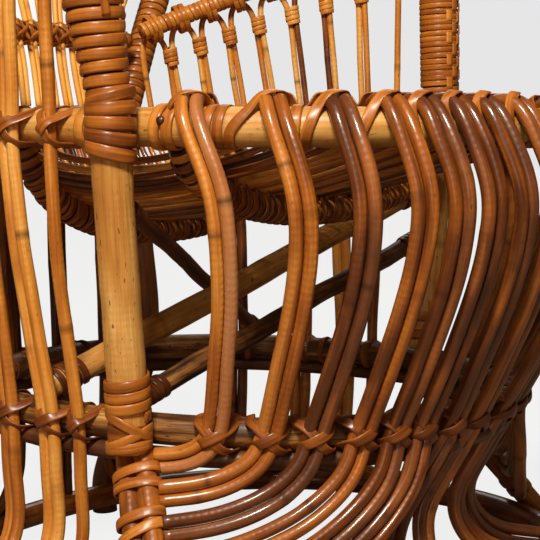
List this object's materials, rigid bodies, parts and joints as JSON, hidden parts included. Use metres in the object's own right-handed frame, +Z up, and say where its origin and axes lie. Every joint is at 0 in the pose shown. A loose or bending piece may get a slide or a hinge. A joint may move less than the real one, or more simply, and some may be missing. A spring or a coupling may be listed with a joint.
{
  "type": "peacock chair",
  "caption": "Rattan peacock armchair with a dished cane seat, a lashed skirt of bulging cane pairs, arched arm panels and a tall rounded fan back.",
  "frame": {"origin": "middle of the chair's outline on the floor", "axes": "+Z up, the sitter faces -Y, +X is the sitter's left-hand side"},
  "size_m": [0.887, 0.7384, 1.3184],
  "materials": {
    "pale_cane": "varnished pale rattan pole",
    "honey_cane": "varnished honey-orange cane",
    "red_cane": "varnished red-brown cane",
    "dark_cane": "dull dark brown cane",
    "peel": "glossy flat cane peel"
  },
  "bodies": {
    "root": {"seat_hoop": "pale_cane", "waist_hoop": "pale_cane", "under_hoop": "dark_cane", "floor_hoop": "pale_cane", "seat_deck": "honey_cane", "brace_upper": "pale_cane", "brace_lower": "pale_cane", "brace_thin": "dark_cane", "back_outer_hoop": "honey_cane", "back_inner_hoop": "honey_cane", "back_fan": "honey_cane", "front_post_left": "pale_cane", "front_leg_left": "honey_cane", "back_leg_left": "dark_cane", "arm_post_left": "honey_cane", "arm_wrap_left": "peel", "arm_rail_left": "honey_cane", "arm_panel_rail_left": "honey_cane", "arm_arches_left": "honey_cane", "post_wrap_left": "peel", "skirt_pair_left_1": "honey_cane", "skirt_pair_left_2": "honey_cane", "skirt_pair_left_3": "red_cane", "skirt_pair_left_4": "honey_cane", "skirt_pair_left_5": "honey_cane", "skirt_pair_left_6": "honey_cane", "skirt_pair_left_7": "honey_cane", "skirt_pair_left_8": "honey_cane", "side_pair_left_1": "honey_cane", "side_pair_left_2": "honey_cane", "side_pair_left_3": "honey_cane", "side_pair_left_4": "honey_cane", "side_pair_left_5": "honey_cane", "side_pair_left_6": "honey_cane", "front_post_right": "pale_cane", "front_leg_right": "honey_cane", "back_leg_right": "dark_cane", "arm_post_right": "honey_cane", "arm_wrap_right": "peel", "arm_rail_right": "honey_cane", "arm_panel_rail_right": "honey_cane", "arm_arches_right": "honey_cane", "post_wrap_right": "peel", "skirt_pair_right_1": "honey_cane", "skirt_pair_right_2": "honey_cane", "skirt_pair_right_3": "red_cane", "skirt_pair_right_4": "honey_cane", "skirt_pair_right_5": "honey_cane", "skirt_pair_right_6": "honey_cane", "skirt_pair_right_7": "honey_cane", "skirt_pair_right_8": "honey_cane", "side_pair_right_1": "honey_cane", "side_pair_right_2": "honey_cane", "side_pair_right_3": "honey_cane", "side_pair_right_4": "honey_cane", "side_pair_right_5": "honey_cane", "side_pair_right_6": "honey_cane"}
  },
  "joints": []
}
